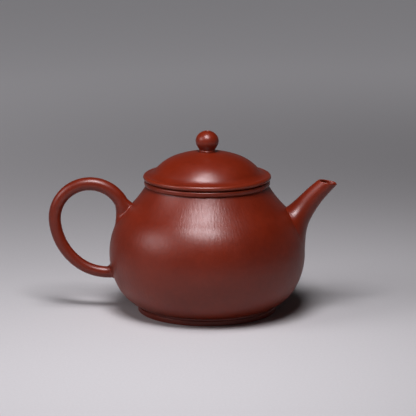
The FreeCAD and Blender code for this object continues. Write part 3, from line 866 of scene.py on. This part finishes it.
def build_handle():
    """A tapering coil bent into an ear and pressed onto the pot at both ends, each spread over the wall,
    the upper one most on the inside of the ear."""
    around = full_turn(96)
    stations = np.array(root_stations() + ear_stations())

    def skin(at):
        return coil_ring(stations, at, around)

    def inside_wall(points):
        return -outside_wall(points)

    none = np.zeros(len(around))
    last = len(stations) - 1.0
    start = crossing(skin, outside_wall, none, none + 1.5 * ROOT_STATIONS)
    end = crossing(skin, inside_wall, none + 0.8 * last, none + last)
    rows = rows_between(skin, start, end, 0.5 - 0.5 * np.cos(np.linspace(0, math.pi, 260)))
    side = np.abs(np.sin(around))
    inner = np.clip(-np.cos(around), 0, 1)
    rows = feather(rows, (0.12 + 0.6 * side + 3.4 * inner**2) * MM)
    rows = feather(rows[::-1], (1.4 + 0.8 * inner) * MM)[::-1]
    normals = grid_normals(rows, False)
    for row in (0, -1):
        normals[row] = vessel_field(rows[row])[1]
    normals = np.concatenate([normals[:1], normals, normals[-1:]])
    rows = np.concatenate([sink(rows[0])[None], rows, sink(rows[-1])[None]])
    return grid_object("handle_clay", rows, normals, caps=True)


# ---------------------------------------------------------------- materials


class Nodes:
    """A small hand for laying out a material's nodes."""

    def __init__(self, material):
        material.use_nodes = True
        self.tree = material.node_tree
        self.tree.nodes.clear()

    def add(self, kind, inputs=None, **settings):
        """A new node. An input is a number, a colour or another node's output."""
        node = self.tree.nodes.new(kind)
        for name, value in settings.items():
            setattr(node, name, value)
        for name, value in (inputs or {}).items():
            if isinstance(value, bpy.types.NodeSocket):
                self.tree.links.new(value, node.inputs[name])
            else:
                node.inputs[name].default_value = value
        return node

    def math(self, operation, first, second=0.0):
        return self.add("ShaderNodeMath", {0: first, 1: second}, operation=operation).outputs[0]

    def noise(self, vector, scale, detail=2.0, roughness=0.5):
        inputs = {"Vector": vector, "Scale": scale, "Detail": detail, "Roughness": roughness}
        return self.add("ShaderNodeTexNoise", inputs).outputs["Fac"]

    def total(self, first, second):
        return self.math("ADD", first, second)

    def product(self, first, second):
        return self.math("MULTIPLY", first, second)

    def vector(self, operation, first, inputs=None, output="Vector"):
        node = self.add("ShaderNodeVectorMath", {0: first, **(inputs or {})}, operation=operation)
        return node.outputs[output]

    def span(self, value, low, high, to_low=0.0, to_high=1.0, curve="LINEAR"):
        """Carries the range low to high over to the range to_low to to_high, and stops at its ends."""
        inputs = {"Value": value, "From Min": low, "From Max": high, "To Min": to_low, "To Max": to_high}
        return self.add("ShaderNodeMapRange", inputs, interpolation_type=curve).outputs["Result"]

    def mix(self, share, first, second):
        """A colour between the first and the second; the node's colour sockets are numbers 6 and 7."""
        return self.add("ShaderNodeMix", {0: share, 6: first, 7: second}, data_type="RGBA").outputs[2]


CLAY_DEEP = (0.165, 0.0165, 0.0034, 1.0)
CLAY_WARM = (0.207, 0.0225, 0.0052, 1.0)
CLAY_GRAIN = (0.380, 0.090, 0.035, 1.0)
CLAY_WORN = (0.320, 0.060, 0.022, 1.0)
CLAY_IOR = 1.6
WAVE_DEPTH = 0.015 * MM
GRAIN_DEPTH = 0.006 * MM


def round_the_pot(nodes, place):
    """A place for marks that run up and down the pot: close set round it, drawn out along its height."""
    direction = nodes.vector("NORMALIZE", nodes.vector("MULTIPLY", place, {1: (1.0, 1.0, 0.0)}))
    ring = nodes.vector("SCALE", direction, {"Scale": 0.04})
    height = nodes.vector("MULTIPLY", place, {1: (0.0, 0.0, 0.4)})
    return nodes.vector("ADD", ring, {1: height})


def clay_colour(nodes, place, worn, grain):
    """Two close reds in soft clouds, with paler grains and paler edges."""
    clouds = nodes.noise(place, 45.0, 3.0)
    mottle = nodes.noise(place, 420.0, 4.0, 0.6)
    tone = nodes.total(nodes.product(clouds, 0.6), nodes.product(mottle, 0.4))
    colour = nodes.mix(nodes.span(tone, 0.35, 0.65), CLAY_DEEP, CLAY_WARM)
    specks = nodes.noise(place, 2600.0, 2.0)
    colour = nodes.mix(nodes.span(specks, 0.66, 0.80, 0.0, 0.35 * grain), colour, CLAY_GRAIN)
    return nodes.mix(nodes.product(worn, 0.35), colour, CLAY_WORN)


def clay_relief(nodes, place, streaks, grain):
    """Upright burnishing marks, the slow waves of a surface shaped by hand, and fine grain."""
    marks = nodes.product(nodes.noise(round_the_pot(nodes, place), 920.0, 3.0, 0.6), streaks)
    waves = nodes.product(nodes.noise(place, 110.0, 2.0), WAVE_DEPTH)
    fine = nodes.product(nodes.noise(place, 1800.0, 3.0, 0.6), GRAIN_DEPTH * grain)
    relief = nodes.total(nodes.total(marks, waves), fine)
    return nodes.add("ShaderNodeBump", {"Height": relief, "Strength": 1.0, "Distance": 1.0}).outputs["Normal"]


def clay(name, roughness, streaks, grain):
    """Fine red clay. Streaks is the depth of the burnishing marks, and grain how open the surface is: 1 where
    it was burnished, more where it was left as the knife left it."""
    material = bpy.data.materials.new(name)
    nodes = Nodes(material)
    place = nodes.add("ShaderNodeTexCoord").outputs["Object"]
    edges = nodes.add("ShaderNodeAttribute", attribute_name="wear").outputs["Fac"]
    patchy = nodes.span(nodes.noise(place, 300.0, 3.0), 0.35, 0.65, 0.3, 1.0)
    worn = nodes.product(edges, patchy)
    uneven = nodes.span(nodes.noise(place, 160.0, 3.0), 0.3, 0.7, roughness - 0.03, roughness + 0.03)
    shader = nodes.add("ShaderNodeBsdfPrincipled", {
        "Base Color": clay_colour(nodes, place, worn, grain),
        "Roughness": nodes.total(uneven, nodes.product(worn, -0.06)),
        "Normal": clay_relief(nodes, place, streaks, grain),
        "IOR": CLAY_IOR,
    })
    nodes.add("ShaderNodeOutputMaterial", {"Surface": shader.outputs[0]})
    return material


# ---------------------------------------------------------------- stage, lights and camera

PAPER_DIM = (0.600, 0.580, 0.580, 1.0)
PAPER_BRIGHT = (0.620, 0.600, 0.600, 1.0)
# Painted light: the paper emits this glow, standing in for lamp light on the far backdrop.
PAINTED_LIGHT_GLOW = (1.0, 0.98, 1.03, 1.0)
PAINTED_GLOW_CENTRE = (0.12, 0.0, 0.0)
PAINTED_GLOW_STRENGTH = 0.17
PAINTED_GLOW_ON_POT = 0.65  # how much of the painted glow lights the pot and the floor, rather than only being seen


def studio_paper():
    """Pale paper that glows with painted light in place of lamp light on the far backdrop; the glow grows
    away from the pot.
    """
    material = bpy.data.materials.new("studio_paper")
    nodes = Nodes(material)
    place = nodes.add("ShaderNodeTexCoord").outputs["Object"]
    fibres = nodes.span(nodes.noise(place, 900.0, 3.0), 0.3, 0.7)
    # painted light: the paper's emission grows with distance from a point right of the pot
    far = nodes.vector("DISTANCE", place, {1: PAINTED_GLOW_CENTRE}, output="Value")
    painted_glow = nodes.span(far, 0.2, 0.72, 0.0, PAINTED_GLOW_STRENGTH, curve="SMOOTHSTEP")
    painted_glow = nodes.product(painted_glow, nodes.span(far, 1.2, 2.0, 1.0, 0.8))
    seen = nodes.add("ShaderNodeLightPath").outputs["Is Camera Ray"]
    painted_glow = nodes.product(painted_glow, nodes.span(seen, 0.0, 1.0, PAINTED_GLOW_ON_POT, 1.0))
    shader = nodes.add("ShaderNodeBsdfPrincipled", {
        "Base Color": nodes.mix(fibres, PAPER_DIM, PAPER_BRIGHT),
        "Roughness": 0.9,
        "Specular IOR Level": 0.1,
        "Emission Color": PAINTED_LIGHT_GLOW,
        "Emission Strength": painted_glow,
    })
    nodes.add("ShaderNodeOutputMaterial", {"Surface": shader.outputs[0]})
    return material


def build_floor():
    """A wide round sheet of paper that curls up far behind the pot, all the way round."""
    flat = 2.2
    curl = 1.6
    rise = 1.4  # how far round its curl the paper goes, in radians
    sectors = 96
    rings = [(radius, 0.0) for radius in np.linspace(0.0, flat, 24)[1:]]
    for turn in np.linspace(0.0, rise, 24)[1:]:
        rings.append((flat + curl * math.sin(turn), curl - curl * math.cos(turn)))
    around = full_turn(sectors)
    vertices = [(0.0, 0.0, 0.0)]
    for radius, height in rings:
        vertices.extend((radius * math.cos(angle), radius * math.sin(angle), height) for angle in around)
    faces = [[0, 1 + sector, 1 + (sector + 1) % sectors] for sector in range(sectors)]
    for ring in range(len(rings) - 1):
        for sector in range(sectors):
            here = 1 + ring * sectors + sector
            beside = 1 + ring * sectors + (sector + 1) % sectors
            faces.append([here, here + sectors, beside + sectors, beside])
    mesh = bpy.data.meshes.new("paper_sweep")
    mesh.from_pydata(vertices, [], faces)
    mesh.polygons.foreach_set("use_smooth", [True] * len(mesh.polygons))
    mesh.materials.append(studio_paper())
    floor = bpy.data.objects.new("paper_sweep", mesh)
    bpy.context.scene.collection.objects.link(floor)


LIGHT_TINT = (1.0, 1.0, 1.05)
POT_MIDDLE = Vector((0.0, 0.0, 0.045))


def towards(azimuth, elevation):
    """The direction from the pot to a place round it. Azimuth counts from the camera's side to the right."""
    turn = math.radians(azimuth)
    rise = math.radians(elevation)
    return Vector((math.sin(turn) * math.cos(rise), -math.cos(turn) * math.cos(rise), math.sin(rise)))


def soft_light(name, azimuth, elevation, distance, half_width, half_height, brightness, roll=0.0):
    """An oval light aimed at the pot, evenly bright whatever its size. Half_width and half_height are the
    angles from its middle to its rim as the pot sees it."""
    direction = towards(azimuth, elevation)
    light = bpy.data.lights.new(name, "AREA")
    light.shape = "ELLIPSE"
    light.size = 2 * distance * math.tan(math.radians(half_width))
    light.size_y = 2 * distance * math.tan(math.radians(half_height))
    light.energy = math.pi**2 * light.size * light.size_y / 4 * brightness
    light.color = LIGHT_TINT
    lamp = bpy.data.objects.new(name, light)
    lamp.location = POT_MIDDLE + direction * distance
    spin = Quaternion((0.0, 0.0, 1.0), math.radians(roll))
    lamp.rotation_euler = (direction.to_track_quat("Z", "Y") @ spin).to_euler()
    lamp.visible_camera = False
    bpy.context.scene.collection.objects.link(lamp)


def build_lights():
    """One large lamp in front and above that draws the highlight, one overhead, and two faint ones from the
    handle's side."""
    soft_light("key", -8.0, 61.5, 0.36, 16.0, 10.5, 15.5, roll=-20.0)
    soft_light("crown", -9.0, 80.0, 0.36, 9.0, 6.0, 10.0)
    soft_light("side", -72.0, 29.0, 1.0, 15.0, 13.0, 3.8)
    soft_light("sheen", -50.0, 33.0, 1.0, 22.0, 20.0, 0.35)
    world = bpy.data.worlds.new("room")
    world.use_nodes = True
    background = world.node_tree.nodes["Background"]
    background.inputs["Color"].default_value = (1.0, 1.0, 1.0, 1.0)
    background.inputs["Strength"].default_value = 0.01
    bpy.context.scene.world = world


def build_camera():
    """Looks a little down on the pot, square to its handle and spout, through a long lens."""
    distance = 1.05
    aim = Vector((0.38 * MM, 0.0, 0.569 * CAD_HIGH.z))
    back = towards(0.0, 12.45)
    camera = bpy.data.cameras.new("camera")
    camera.lens = 201.9
    camera.sensor_width = 36.0
    holder = bpy.data.objects.new("camera", camera)
    holder.location = aim + back * distance
    holder.rotation_euler = (-back).to_track_quat("-Z", "Y").to_euler()
    bpy.context.scene.collection.objects.link(holder)
    bpy.context.scene.camera = holder


# ---------------------------------------------------------------- everything together

# How each piece is built, the CAD node it stands for and the body it rides on.
PIECES = [
    (build_body_wall, "body_wall", "pot"),
    (build_shoulder_ring, "shoulder_ring", "pot"),
    (build_base_disc, "base_disc", "pot"),
    (build_foot_ring, "foot_ring", "pot"),
    (build_mouth_ring, "mouth_ring", "pot"),
    (build_spout, "spout", "pot"),
    (build_handle, "handle", "pot"),
    (build_lid_flange, "lid_flange", "lid_seat"),
    (build_lid_plate, "lid_plate", "lid"),
    (build_lid_dome, "lid_dome", "lid"),
    (build_knob, "knob", "lid"),
]
BURNISHED = ("body_wall", "shoulder_ring")


def build_teapot():
    """Every piece, in burnished clay where it shows burnishing marks and smooth clay elsewhere, with raw clay
    as its second material, for the inside."""
    burnished = clay("burnished_clay", 0.39, 0.085 * MM, 1.0)
    smooth = clay("smooth_clay", 0.36, 0.0, 1.0)
    raw = clay("raw_clay", 0.62, 0.015 * MM, 3.0)
    for build, node, body in PIECES:
        piece = build()
        piece.data.materials.clear()
        piece.data.materials.append(burnished if node in BURNISHED else smooth)
        piece.data.materials.append(raw)
        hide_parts(node)
        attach(piece, body)
    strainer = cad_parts["spout_strainer"]
    strainer.data.materials.clear()
    strainer.data.materials.append(raw)


def set_view():
    view = bpy.context.scene.view_settings
    view.view_transform = "Standard"
    view.look = "None"
    view.exposure = 0.2
    view.gamma = 0.85


build_teapot()
build_floor()
build_lights()
build_camera()
set_view()
